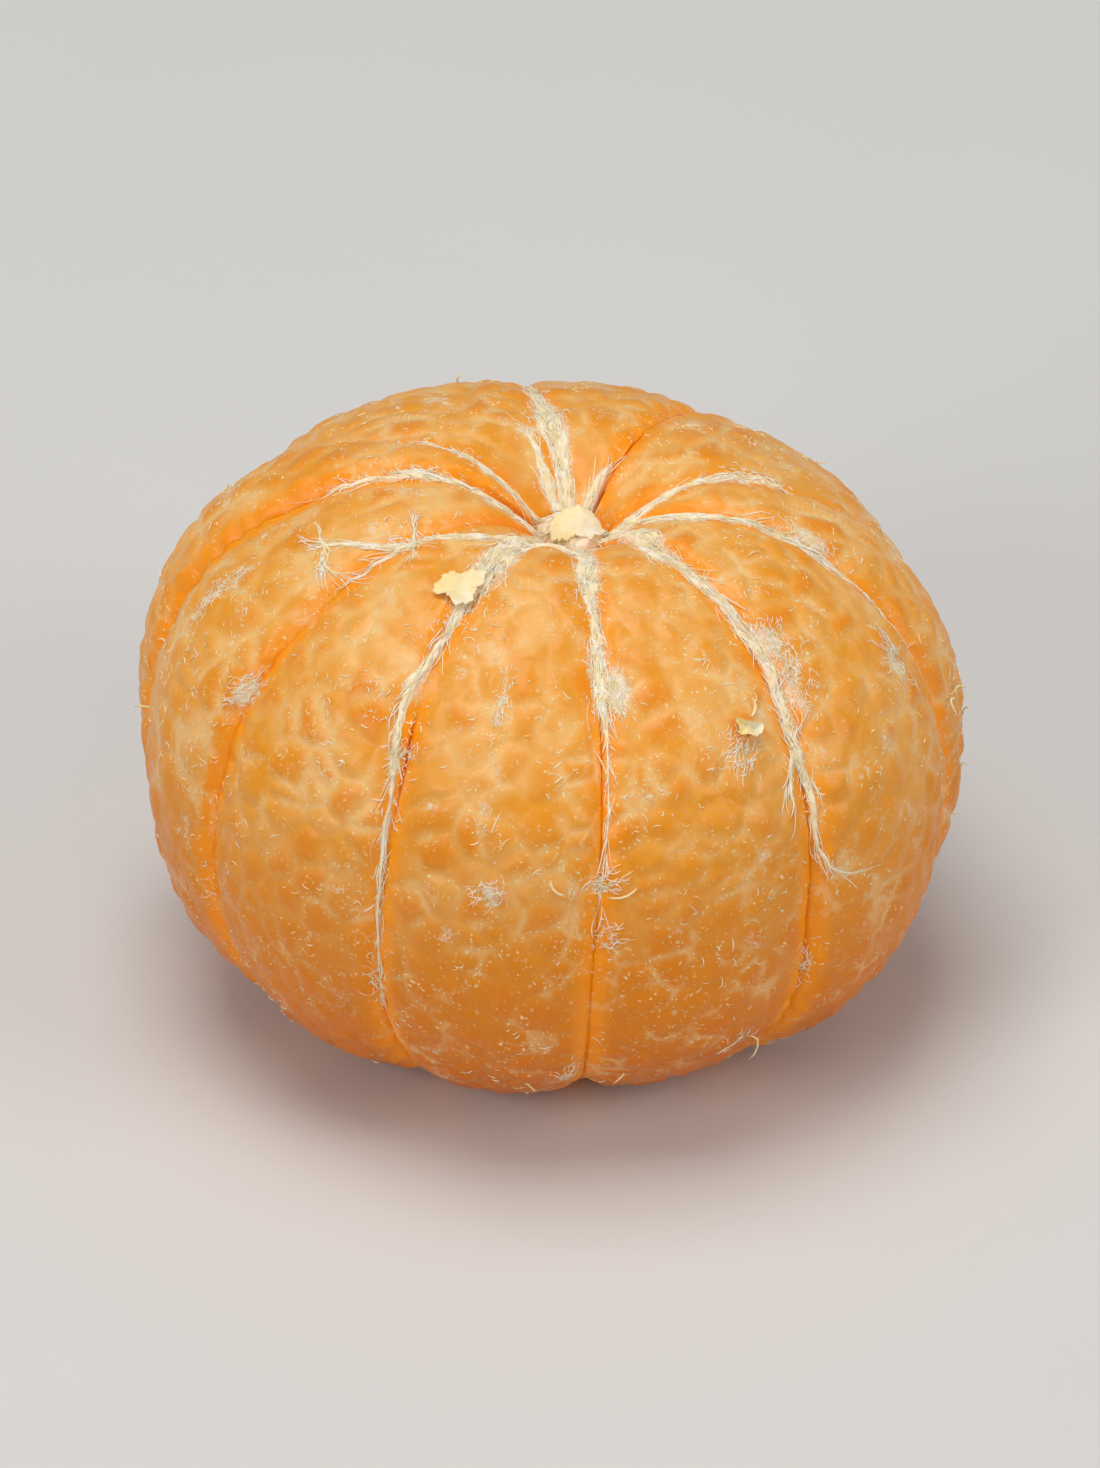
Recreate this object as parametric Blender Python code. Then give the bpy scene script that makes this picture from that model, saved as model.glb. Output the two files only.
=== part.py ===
"""A peeled mandarin: ten segments round a soft white core, with the core's threads lying in the
grooves between them.

Metres, +Z up. The origin is the middle of the underside, on the surface that the fruit rests on.
The front is towards -Y. Angles round the fruit count from the front towards +X.
"""

import math

import bmesh
import bpy
from mathutils import Matrix, Vector, noise

MM = 0.001

# The fruit as a whole
RADIUS = 29.0 * MM  # from the axis to the widest point of a segment
HALF_HEIGHT = 22.0 * MM  # from the middle to the top, without the hollows at the ends
SQUARENESS = 2.38  # 2 is an ellipse, more has fuller shoulders
HOLLOW_DEPTH = 6.2 * MM  # how far the segments sink towards the core at the top and bottom
HOLLOW_WIDTH = 6.2 * MM
LEAN = math.radians(4.5)  # the upper part of the axis leans this much towards +X
MIDDLE_HEIGHT = 20.0 * MM  # above the ground, so the lowest 0.8 mm is pressed flat

# The segments. Each has the angle of the groove before it, how far that groove bends round
# towards the top, and how full the segment is.
SEGMENTS = (
    (-26, -4, 1.000),
    (6, 0, 0.992),
    (41, 2, 1.018),
    (78, 2, 1.016),
    (102, 4, 0.992),
    (150, 3, 0.992),
    (191, 0, 1.010),
    (244, 3, 1.042),
    (268, 0, 1.016),
    (301, 0, 1.002),
)
BEND_RISE = (10, 50)  # a groove bends between these height angles, in degrees
FULL_RISE = (-70, -20)  # a segment's fullness fades out between these, so that all stand level
GAP = 0.3 * MM  # between neighbours
LOBING = 0.026  # how much lower a segment is at its grooves than at its crown
LOBE_POWER = 2.4  # more keeps the crown flatter and drops later
CROWN_ROUNDING = 1.2 * MM  # radius of the shoulder beside a groove
INNER_ROUNDING = 0.5 * MM  # radius of the thin edge at the core
ROUNDING_CHANGE = (3 * MM, 13 * MM)  # distances from the axis between which one becomes the other
UNEVENNESS = 0.25 * MM  # the slow swells of a grown surface
SWELLS_ROUND = 2.3  # how close together the swells are
SWELLS_FROM = Vector((4.1, 7.7, 1.9))  # which part of the noise they are taken from

# The mesh of a segment: rays from its heart, turned through slices and spread across its width
SLICES = 38
SPREADS = (0.0, 0.36, 0.68, 0.90, 1.0)  # from the crown to the groove, as parts of half the width
WALL_STEPS = (0.90, 0.55)  # down a side wall, as parts of the way from its middle
HEART = 0.56  # how far from the axis a segment's heart lies, as a part of RADIUS
SLICE_ANGLES = ((0.0, 0.0), (0.42, 56.0), (0.78, 112.0), (0.90, 132.0), (1.0, 180.0))

# The pith
CORE_RADIUS = 2.2 * MM
CAP_TOP = 18.6 * MM  # above the middle
CORE_END_POWER = 0.8  # under 1 gives the core's ends a blunter dome
CORE_END_SPREAD = 1.9  # how soon the dome reaches the core's full width
THREAD_SIDES = 8
THREAD_ROOT = 17.4 * MM  # height above the middle where a thread leaves the core
CLEARANCE = 0.34 * MM  # between a thread and the membranes beside it
LOWEST_REST = 0.5 * RADIUS  # nothing that lies on the fruit is nearer to its middle than this

# Threads in the grooves, from the cap outwards: the groove's number, the height angle where it
# ends in degrees above the middle, its radius at the root and its radius at the tip.
TOP_THREADS = (
    (1, 8, 0.54, 0.32),
    (2, 14, 0.54, 0.32),
    (3, 9, 0.50, 0.32),
    (4, 30, 0.46, 0.32),
    (5, 46, 0.44, 0.32),
    (6, 66, 0.50, 0.34),
    (7, 44, 0.58, 0.40),
    (8, 57, 0.46, 0.32),
    (9, 47, 0.44, 0.32),
    (10, 50, 0.46, 0.32),
)
BOTTOM_THREAD_ENDS = (-74, -72, -75, -73, -74, -72, -75, -73, -72, -74)  # in the hollow
BOTTOM_THREAD_RADII = (0.40, 0.30)
THREAD_START = 79.0  # the height angle where a thread comes out of the hollow, in degrees
THREAD_STEP = 5.0  # degrees of height between the stations of a thread
TIP_TAPER = 0.45  # how thin a thread's last ring is, as a part of its radius there

# Side threads over a segment: angle round and height angle of each point, from a groove outwards
SIDE_THREADS = (
    ((302, 54), (297, 51), (291, 46), (285, 44)),
    ((290, 45), (293, 43), (297, 42)),
    ((302, 55), (299, 58)),
    ((41, 11), (43, 8), (48, 6), (51, 4)),
    ((42, 24), (38, 21), (38, 17)),
)
SIDE_THREAD_RADIUS = 0.32 * MM

# Flaps of torn pith: angle round, height angle, half length, half width and turn in degrees
FLAPS = (
    (-34, 53, 1.6, 1.3, 20),
)
FLAP_HALF_THICKNESS = 0.38 * MM


def direction(turn, rise):
    """The unit vector at an angle round the fruit and a height angle, both in radians."""
    return Vector(
        (
            math.sin(turn) * math.cos(rise),
            -math.cos(turn) * math.cos(rise),
            math.sin(rise),
        )
    )


def smoothstep(value, low, high):
    part = min(max((value - low) / (high - low), 0.0), 1.0)
    return part * part * (3.0 - 2.0 * part)


def groove_turn(number, rise):
    """The angle round the fruit of a groove, at a height angle in radians."""
    turn, bend, _ = SEGMENTS[number - 1]
    return math.radians(turn + bend * smoothstep(math.degrees(rise), *BEND_RISE))


def skin_radius(along):
    """How far the fruit's outside is from its middle, in the direction of the vector along."""
    outward = math.hypot(along.x, along.y) / along.length
    upward = abs(along.z) / along.length
    ratio = HALF_HEIGHT / RADIUS
    radius = RADIUS * (outward**SQUARENESS + (upward / ratio) ** SQUARENESS) ** (-1.0 / SQUARENESS)
    hollow = HOLLOW_DEPTH * math.exp(-((radius * outward / HOLLOW_WIDTH) ** 2))
    swell = UNEVENNESS * noise.noise(along.normalized() * SWELLS_ROUND + SWELLS_FROM)
    return radius - hollow + swell


class Segment:
    """One wedge of the fruit, as a distance from its surface that is negative inside."""

    def __init__(self, number):
        self.number = number
        self.fullness = SEGMENTS[number - 1][2]
        start = math.radians(SEGMENTS[number - 1][0])
        self.width = (math.radians(SEGMENTS[number % len(SEGMENTS)][0]) - start) % math.tau
        self.middle = start + self.width / 2

    def distance(self, point):
        around = math.hypot(point.x, point.y)
        rise = math.atan2(point.z, around)
        turn = math.atan2(point.x, -point.y)
        next_number = self.number % len(SEGMENTS) + 1
        past_start = (turn - groove_turn(self.number, rise) + math.pi) % math.tau - math.pi
        before_end = (groove_turn(next_number, rise) - turn + math.pi) % math.tau - math.pi
        edge = min(abs(past_start - before_end) / self.width, 1.0)
        leaning_out = around / point.length
        fuller = (self.fullness - 1.0) * smoothstep(math.degrees(rise), *FULL_RISE)
        lobe = 1.0 + fuller - LOBING * edge**LOBE_POWER * leaning_out
        walls = (
            point.length - lobe * skin_radius(point),
            GAP / 2 - around * math.sin(past_start),
            GAP / 2 - around * math.sin(before_end),
            CORE_RADIUS + GAP - around,
        )
        towards_crown = smoothstep(around, *ROUNDING_CHANGE)
        rounding = INNER_ROUNDING + (CROWN_ROUNDING - INNER_ROUNDING) * towards_crown
        outside = math.sqrt(sum(max(wall + rounding, 0.0) ** 2 for wall in walls))
        return min(max(walls), -rounding) + outside


def surface_along(inside, along, reach, distance, level=0.0):
    """The point where distance rises to level on the way from inside in the direction along."""
    near, far = 0.0, reach
    for _ in range(40):
        middle = (near + far) / 2
        if distance(inside + along * middle) > level:
            far = middle
        else:
            near = middle
    return inside + along * near


def slice_angle(part):
    """Turns an even step into an angle with more slices near the tips than at the core."""
    for (start, low), (end, high) in zip(SLICE_ANGLES, SLICE_ANGLES[1:]):
        if part <= end:
            return math.radians(low + (high - low) * (part - start) / (end - start))
    return math.pi


def spread_table():
    """For each ring of the sphere, the part of the half width and the step down the side wall."""
    half = [(0.0 if i == 0 else SPREADS[i], 1.0) for i in range(len(SPREADS))]
    half += [(1.0, step) for step in WALL_STEPS] + [(1.0, 0.0)]
    return [(-spread, step) for spread, step in reversed(half[1:])] + half


def face_outwards(bm):
    bmesh.ops.recalc_face_normals(bm, faces=bm.faces)
    if bm.calc_volume(signed=True) < 0:
        bmesh.ops.reverse_faces(bm, faces=bm.faces)


def segment_mesh(segment):
    """A sphere whose poles lie on the two side walls, blown out until it fills the wedge."""
    rings = spread_table()
    bm = bmesh.new()
    bmesh.ops.create_uvsphere(bm, u_segments=SLICES, v_segments=len(rings) - 1, radius=1.0)
    out = direction(segment.middle, 0.0)
    heart = out * (HEART * RADIUS)
    for vert in bm.verts:
        ring = round((math.asin(max(-1.0, min(1.0, vert.co.z))) / math.pi + 0.5) * (len(rings) - 1))
        spread, step = rings[ring]
        around = math.atan2(vert.co.y, vert.co.x)
        angle = math.copysign(slice_angle(abs(around) / math.pi), around)
        in_plane = out * math.cos(angle) + Vector((0, 0, 1)) * math.sin(angle)
        rim = surface_along(heart, in_plane, 2 * RADIUS, segment.distance)
        turned = Matrix.Rotation(spread * segment.width / 2, 3, "Z")
        side = turned @ heart
        target = side + (turned @ rim - side) * step
        if (target - heart).length < 1e-9:
            target = heart + in_plane
        vert.co = surface_along(heart, (target - heart).normalized(), 2 * RADIUS, segment.distance)
    face_outwards(bm)
    return bm


def stand_up(bm):
    """Bends the fruit over, lifts it to its height and flattens what would be under the ground."""
    for vert in bm.verts:
        lean = LEAN * smoothstep(vert.co.z, -0.9 * HALF_HEIGHT, 0.3 * HALF_HEIGHT)
        vert.co = Matrix.Rotation(lean, 3, "Y") @ vert.co
        vert.co.z = max(vert.co.z + MIDDLE_HEIGHT, 0.0)
    bmesh.ops.triangulate(bm, faces=bm.faces)


def add_object(name, bm, material, collection):
    mesh = bpy.data.meshes.new(name)
    bm.to_mesh(mesh)
    bm.free()
    mesh.shade_smooth()
    mesh.materials.append(material)
    obj = bpy.data.objects.new(name, mesh)
    collection.objects.link(obj)
    return obj


def make_material(name, colour, roughness, metallic=0.0):
    material = bpy.data.materials.new(name)
    material.use_nodes = True
    shader = material.node_tree.nodes["Principled BSDF"]
    shader.inputs["Base Color"].default_value = (*colour, 1.0)
    shader.inputs["Roughness"].default_value = roughness
    shader.inputs["Metallic"].default_value = metallic
    return material


def nearest_membrane(point, segments):
    return min(segment.distance(point) for segment in segments)


def resting_point(turn, rise, segments, radius):
    """Where a thread of this radius lies on the fruit, clear of every membrane."""

    def distance(point):
        return nearest_membrane(point, segments)

    along = direction(turn, rise)
    return surface_along(along * LOWEST_REST, along, RADIUS, distance, radius + CLEARANCE)


def away_from_membranes(point, segments):
    """The unit vector that leads straight away from the nearest membrane."""
    step = 0.2 * MM
    slope = Vector()
    for axis in range(3):
        shift = Vector()
        shift[axis] = step
        slope[axis] = nearest_membrane(point + shift, segments) - nearest_membrane(point - shift, segments)
    return slope.normalized()


def tube(points, radii):
    """A tapered tube through the points, with rounded ends, as a bmesh."""
    bm = bmesh.new()
    loops = []
    for index, point in enumerate(points):
        before = points[max(index - 1, 0)]
        after = points[min(index + 1, len(points) - 1)]
        turn = (after - before).to_track_quat("Z", "Y").to_matrix().to_4x4()
        place = Matrix.Translation(point) @ turn
        circle = bmesh.ops.create_circle(bm, segments=THREAD_SIDES, radius=radii[index], matrix=place)
        loops.append(circle["verts"])
    rings = [list({edge for vert in loop for edge in vert.link_edges}) for loop in loops]
    for first, second in zip(rings, rings[1:]):
        bmesh.ops.bridge_loops(bm, edges=first + second)
    bmesh.ops.holes_fill(bm, edges=bm.edges, sides=0)
    face_outwards(bm)
    return bm


def groove_thread(number, end, root_radius, tip_radius, segments, side=1):
    """A thread from the core's end along a groove: side 1 starts on top and -1 below."""
    start = side * THREAD_START
    count = round(abs(end - start) / THREAD_STEP)
    stations = [math.radians(start + (end - start) * i / count) for i in range(count + 1)]
    points = [Vector((0, 0, side * THREAD_ROOT))]
    radii = [root_radius * MM]
    for index, rise in enumerate(stations):
        radius = (root_radius + (tip_radius - root_radius) * index / count) * MM
        points.append(resting_point(groove_turn(number, rise), rise, segments, radius))
        radii.append(radius)
    tip = points[-1] + (points[-1] - points[-2]).normalized() * tip_radius * MM
    points.append(tip)
    radii.append(tip_radius * MM * TIP_TAPER)
    return tube(points, radii)


def side_thread(route, segments):
    points = []
    for (turn, rise), (next_turn, next_rise) in zip(route, route[1:]):
        for part in (0.0, 0.5):
            turn_here = math.radians(turn + (next_turn - turn) * part)
            rise_here = math.radians(rise + (next_rise - rise) * part)
            points.append(resting_point(turn_here, rise_here, segments, SIDE_THREAD_RADIUS))
    turn, rise = route[-1]
    points.append(resting_point(math.radians(turn), math.radians(rise), segments, SIDE_THREAD_RADIUS))
    radii = [SIDE_THREAD_RADIUS] * (len(points) - 1) + [SIDE_THREAD_RADIUS * TIP_TAPER]
    return tube(points, radii)


def flap(turn, rise, half_length, half_width, twist, segments):
    """A small leaf of torn pith that lies on the membrane, as a flattened ball."""
    middle = resting_point(math.radians(turn), math.radians(rise), segments, FLAP_HALF_THICKNESS)
    face = away_from_membranes(middle, segments).to_track_quat("Z", "Y").to_matrix().to_4x4()
    bm = bmesh.new()
    bmesh.ops.create_uvsphere(bm, u_segments=12, v_segments=6, radius=1.0)
    size = Matrix.Diagonal((half_length * MM, half_width * MM, FLAP_HALF_THICKNESS, 1.0))
    bm.transform(Matrix.Translation(middle) @ face @ Matrix.Rotation(math.radians(twist), 4, "Z") @ size)
    return bm


def core():
    """The column between the segments, with a low cap on top and a stub below."""
    bm = bmesh.new()
    bmesh.ops.create_uvsphere(bm, u_segments=16, v_segments=14, radius=1.0)
    for vert in bm.verts:
        height = math.copysign(abs(vert.co.z) ** CORE_END_POWER, vert.co.z) * CAP_TOP
        width = CORE_RADIUS * min(1.0, CORE_END_SPREAD * math.hypot(vert.co.x, vert.co.y))
        flat = Vector((vert.co.x, vert.co.y))
        flat = flat.normalized() * width if flat.length > 1e-6 else flat * 0.0
        vert.co = Vector((flat.x, flat.y, height))
    face_outwards(bm)
    return bm


def join(target, pieces):
    """One Boolean union of the target with everything in the collection, applied.

    The solver is MANIFOLD, because all threads cross at the core, where EXACT is slow.
    """
    union = target.modifiers.new("union", "BOOLEAN")
    union.operation = "UNION"
    union.operand_type = "COLLECTION"
    union.collection = pieces
    union.solver = "MANIFOLD"
    evaluated = target.evaluated_get(bpy.context.evaluated_depsgraph_get())
    mesh = bpy.data.meshes.new_from_object(evaluated)
    target.modifiers.clear()
    old = target.data
    target.data = mesh
    bpy.data.meshes.remove(old)
    for obj in list(pieces.objects):
        bpy.data.objects.remove(obj)
    bpy.data.collections.remove(pieces)


def make_pith(segments, material, collection):
    target = add_object("pith", core(), material, collection)
    pieces = bpy.data.collections.new("pith_pieces")
    bpy.context.scene.collection.children.link(pieces)
    shapes = [groove_thread(*thread, segments) for thread in TOP_THREADS]
    for number, end in enumerate(BOTTOM_THREAD_ENDS, 1):
        shapes.append(groove_thread(number, end, *BOTTOM_THREAD_RADII, segments, side=-1))
    shapes += [side_thread(route, segments) for route in SIDE_THREADS]
    shapes += [flap(*leaf, segments) for leaf in FLAPS]
    for index, bm in enumerate(shapes):
        bmesh.ops.triangulate(bm, faces=bm.faces)
        add_object(f"pith_piece_{index}", bm, material, pieces)
    join(target, pieces)
    bm = bmesh.new()
    bm.from_mesh(target.data)
    stand_up(bm)
    bm.to_mesh(target.data)
    bm.free()
    target.data.shade_smooth()


def centre_over_origin(collection):
    """Shifts every mesh sideways, so that the origin is under the middle of the whole fruit."""
    spots = [vert.co for obj in collection.objects for vert in obj.data.vertices]
    middle = [(min(spot[axis] for spot in spots) + max(spot[axis] for spot in spots)) / 2 for axis in (0, 1)]
    for obj in collection.objects:
        obj.data.transform(Matrix.Translation((-middle[0], -middle[1], 0)))


def clear_scene():
    for obj in list(bpy.data.objects):
        bpy.data.objects.remove(obj)


def main():
    clear_scene()
    collection = bpy.data.collections.new("peeled_mandarin")
    bpy.context.scene.collection.children.link(collection)
    membrane = make_material("segment_membrane", (0.82, 0.36, 0.055), 0.38)
    white = make_material("pith", (0.90, 0.76, 0.52), 0.7)
    segments = [Segment(number) for number in range(1, len(SEGMENTS) + 1)]
    for segment in segments:
        bm = segment_mesh(segment)
        stand_up(bm)
        add_object(f"segment_{segment.number:02d}", bm, membrane, collection)
    make_pith(segments, white, collection)
    centre_over_origin(collection)


main()
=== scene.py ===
"""A peeled mandarin, dressed: moist segments with the juice sacs showing through their membranes,
and the soft white pith that clings to them in threads, tufts and torn flaps.

Metres, +Z up. Turn is the angle round the fruit from the front (-Y) towards +X and rise is the
height angle from the fruit's middle, both in degrees and both before the fruit is bent over and
set down.
"""

import math

import bmesh
import bpy
import numpy as np
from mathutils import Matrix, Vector, kdtree, noise


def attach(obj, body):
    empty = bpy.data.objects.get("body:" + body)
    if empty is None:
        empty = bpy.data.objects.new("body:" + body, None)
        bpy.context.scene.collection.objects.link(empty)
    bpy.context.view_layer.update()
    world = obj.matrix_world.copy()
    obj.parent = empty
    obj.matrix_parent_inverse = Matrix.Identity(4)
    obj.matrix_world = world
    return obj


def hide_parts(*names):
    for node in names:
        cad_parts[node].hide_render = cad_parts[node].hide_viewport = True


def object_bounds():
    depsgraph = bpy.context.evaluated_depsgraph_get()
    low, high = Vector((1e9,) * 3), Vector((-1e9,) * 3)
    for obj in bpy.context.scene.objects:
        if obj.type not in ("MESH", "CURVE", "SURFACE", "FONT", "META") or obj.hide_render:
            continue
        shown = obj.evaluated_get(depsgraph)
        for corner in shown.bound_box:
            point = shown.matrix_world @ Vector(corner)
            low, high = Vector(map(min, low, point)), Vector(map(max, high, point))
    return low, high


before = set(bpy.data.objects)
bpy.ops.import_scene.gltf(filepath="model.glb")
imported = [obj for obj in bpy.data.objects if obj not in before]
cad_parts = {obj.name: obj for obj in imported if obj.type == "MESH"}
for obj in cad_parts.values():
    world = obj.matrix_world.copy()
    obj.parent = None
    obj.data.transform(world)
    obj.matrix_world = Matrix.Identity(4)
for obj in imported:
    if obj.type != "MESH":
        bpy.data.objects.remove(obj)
cad_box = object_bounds()

MM = 0.001

# The fruit's form, with the same values as its solids
RADIUS = 29.0 * MM
HALF_HEIGHT = 22.0 * MM
SQUARENESS = 2.38
HOLLOW_DEPTH = 6.2 * MM
HOLLOW_WIDTH = 6.2 * MM
LEAN = math.radians(4.5)
MIDDLE_HEIGHT = 20.0 * MM
SEGMENTS = (
    (-26, -4, 1.000),
    (6, 0, 0.992),
    (41, 2, 1.018),
    (78, 2, 1.016),
    (102, 4, 0.992),
    (150, 3, 0.992),
    (191, 0, 1.010),
    (244, 3, 1.042),
    (268, 0, 1.016),
    (301, 0, 1.002),
)
BEND_RISE = (10, 50)
FULL_RISE = (-70, -20)
GAP = 0.3 * MM
LOBING = 0.040  # more than in the solids, because the soft seams fill the grooves up again
LOBE_POWER = 2.4
CROWN_ROUNDING = 1.2 * MM
INNER_ROUNDING = 0.5 * MM
ROUNDING_CHANGE = (3 * MM, 13 * MM)
UNEVENNESS = 0.25 * MM
SWELLS_ROUND = 2.3
SWELLS_FROM = (4.1, 7.7, 1.9)
HEART = 0.56
SLICE_ANGLES = ((0.0, 0.0), (0.42, 56.0), (0.78, 112.0), (0.90, 132.0), (1.0, 180.0))
CORE_RADIUS = 2.2 * MM

# The finer mesh of a segment
SLICES = 300
CROWN_RINGS = 38  # from the crown to a groove
WALL_STEPS = (0.95, 0.88, 0.76, 0.55, 0.28)  # down a side wall, as parts of the way from its middle

# How the membranes of neighbours meet in a groove
SEAM = -0.10 * MM  # they press into each other
SEAM_SOFTNESS = 1.85 * MM
GROOVE_REACH = (0.3 * MM, 3.0 * MM)  # where the painted light in the groove, a deeper orange and a faint glow, starts to fade, and ends

# The juice sacs under the membrane
SAC_SIZE = 2.6 * MM
SAC_SEED = 11
SAC_HEIGHT = 0.27 * MM
SAC_SHOULDER = 1.0 * MM  # how far from a wall a sac's back starts to round off
DENT_DEPTH = 0.20 * MM
DENT_SIZE = 6.5 * MM
PUCKER_DEPTH = 0.055 * MM
PUCKER_SIZE = 1.6 * MM
DENT_SEED = 21
PUCKER_SEED = 22
RELIEF_DEPTHS = (0.5 * MM, 2.6 * MM)  # below the skin, where the relief fades out

NOISE_CELLS = 24  # after which the noise repeats

# The pith's threads: turn, rise, half width and height in millimetres at listed points
THREADS = {
    "thread_1": (
        (-20, 86, 0.6, 0.3), (-30, 79, 0.6, 0.4), (-32, 72, 0.62, 0.4), (-31, 66, 0.7, 0.4),
        (-31, 61, 0.72, 0.4), (-31, 57, 0.66, 0.36), (-31, 52, 0.42, 0.34), (-30, 47, 0.34, 0.34),
        (-30, 41, 0.27, 0.32), (-30.5, 38, 0.32, 0.34), (-31, 36, 0.52, 0.4), (-30.5, 34.5, 0.34, 0.34),
        (-30, 30, 0.22, 0.3), (-29, 27, 0.34, 0.32), (-28.5, 24, 0.3, 0.3), (-27.5, 20, 0.17, 0.24),
        (-27, 13, 0.22, 0.24), (-26.5, 4, 0.17, 0.22), (-26, -5, 0.13, 0.18), (-25.5, -17, 0.06, 0.12),
    ),
    "thread_2": (
        (0, 86, 0.5, 0.3), (3, 79, 0.55, 0.4), (5, 70, 0.58, 0.42), (5, 63, 0.62, 0.42), (5, 58, 0.46, 0.38),
        (6, 53, 0.36, 0.34), (6, 49, 0.42, 0.34), (6, 46, 0.52, 0.32), (6, 43, 0.4, 0.32),
        (6, 40, 0.48, 0.32), (6.5, 37, 0.36, 0.32), (7, 34, 0.2, 0.28), (7, 31, 0.13, 0.24),
        (7, 22, 0.09, 0.18), (6.5, 14, 0.08, 0.16), (6, 6, 0.05, 0.12),
    ),
    "thread_3": (
        (60, 86, 0.42, 0.3), (58, 79, 0.4, 0.4), (48, 72, 0.46, 0.42), (39, 67, 0.6, 0.42),
        (41, 63, 0.46, 0.4), (43, 57, 0.36, 0.36), (43.5, 50, 0.34, 0.34), (43.5, 44, 0.34, 0.34),
        (43.5, 39, 0.32, 0.34), (42.5, 34, 0.36, 0.36), (42, 29, 0.38, 0.36), (41.5, 25, 0.34, 0.34),
        (42, 21, 0.24, 0.3), (41.5, 15, 0.2, 0.28), (41.5, 12, 0.18, 0.26), (43, 8, 0.14, 0.24),
        (46, 6, 0.12, 0.22), (50, 5, 0.07, 0.2),
    ),
    "thread_3_twig": (
        (41.5, 27, 0.22, 0.3), (39.5, 24, 0.2, 0.28), (38, 20.5, 0.15, 0.24), (38.5, 17, 0.06, 0.18),
    ),
    "thread_4": (
        (86, 86, 0.42, 0.3), (80, 80, 0.46, 0.42), (74, 74, 0.48, 0.44), (71, 69, 0.46, 0.42),
        (76, 63, 0.4, 0.4), (80, 59, 0.38, 0.4), (80.5, 55, 0.34, 0.36), (80.5, 50, 0.36, 0.34),
        (80.5, 46, 0.4, 0.32), (80, 42, 0.18, 0.26), (79, 37, 0.1, 0.2), (78.5, 31, 0.12, 0.2),
        (78, 26, 0.06, 0.14),
    ),
    "thread_5": (
        (80, 80, 0.34, 0.3), (90, 77, 0.4, 0.4), (99, 73, 0.4, 0.42), (105, 68, 0.38, 0.42),
        (108, 62, 0.34, 0.38), (109, 55, 0.28, 0.32), (106, 47, 0.14, 0.24), (104, 39, 0.08, 0.18),
    ),
    "thread_6": (
        (150, 86, 0.4, 0.3), (158, 80, 0.4, 0.42), (159, 77, 0.42, 0.5), (157, 74, 0.3, 0.62),
        (155, 71, 0.08, 0.8),
    ),
    "thread_7": (
        (180, 86, 0.5, 0.3), (-172, 79, 0.5, 0.42), (-171, 73, 0.58, 0.44), (-169, 67, 0.74, 0.46),
        (-169, 62, 0.62, 0.42), (-169, 56, 0.52, 0.4), (-169, 48, 0.42, 0.36), (-169, 40, 0.26, 0.3),
        (-169, 30, 0.16, 0.24), (-169, 18, 0.07, 0.16),
    ),
    "thread_7_side": (
        (-160, 84, 0.3, 0.3), (-155, 79, 0.34, 0.34), (-155, 75, 0.4, 0.34), (-156, 71, 0.24, 0.28),
        (-155, 67, 0.06, 0.18),
    ),
    "thread_8": (
        (-100, 86, 0.34, 0.24), (-105, 80, 0.34, 0.34), (-108, 74, 0.42, 0.36), (-111, 70, 0.5, 0.38),
        (-114, 66, 0.36, 0.34), (-115, 62, 0.2, 0.28), (-115, 57, 0.07, 0.18),
    ),
    "thread_9": (
        (-60, 84, 0.34, 0.24), (-72, 79, 0.38, 0.34), (-84, 73, 0.38, 0.38), (-90, 67, 0.36, 0.38),
        (-92, 61, 0.3, 0.34), (-92, 54, 0.18, 0.28), (-92, 47, 0.07, 0.18),
    ),
    "thread_10": (
        (-32, 72, 0.36, 0.3), (-44, 66, 0.36, 0.36), (-54, 61, 0.34, 0.36), (-58, 57, 0.3, 0.34),
        (-59, 53, 0.2, 0.3), (-59, 49, 0.12, 0.24), (-59, 44, 0.06, 0.18),
    ),
    "thread_10_fork": (
        (-57, 56, 0.2, 0.28), (-62, 52, 0.2, 0.28), (-67, 48.5, 0.16, 0.26), (-71, 45, 0.17, 0.24),
        (-74.5, 45, 0.12, 0.2), (-77, 46, 0.05, 0.16),
    ),
    "thread_10_prong": (
        (-71, 45.5, 0.14, 0.24), (-67, 43.5, 0.12, 0.22), (-63, 43.5, 0.1, 0.2), (-60.5, 45.5, 0.05, 0.16),
    ),
    "thread_10_spur": (
        (-57, 56, 0.16, 0.26), (-60.5, 57, 0.12, 0.28), (-64, 58.5, 0.04, 0.34),
    ),
    "rim_of_segment_1": (
        (-34, 68, 0.3, 0.3), (-26, 71, 0.34, 0.3), (-14, 72.5, 0.34, 0.28), (-2, 71, 0.36, 0.3),
        (5, 68, 0.34, 0.34),
    ),
}

# How threads, fibres and leaves are made
THREAD_SIDES = 24
THREAD_SPACING = 0.30 * MM
THREAD_LOWERING = 0.34  # part of the heights above that stands off the membrane
THREAD_SLIMMING = (0.34, 1.10)  # at its thinnest, and more for each millimetre of half width
THREAD_SUNK = 0.45 * MM  # how deep a thread's underside lies in the membrane
THREAD_SEED = 100
BOTTOM_THREAD_SEED = 200
BOTTOM_THREAD_ENDS = (-74, -72, -75, -73, -74, -72, -75, -73, -72, -74)  # height angles
FIBRE_SIDES = 4
FIBRE_STEPS = 5
HAIRS = 130  # on a thread with HAIR_STATIONS stations
HAIR_STATIONS = 60
HAIR_SEED = 5
TUFT_SEED = 6
CRUMB_GROUPS = 640
CRUMB_SPREAD = 0.8 * MM
CRUMB_SEED = 7
LEAF_POINTS = 72
LEAF_RINGS = 20

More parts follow.
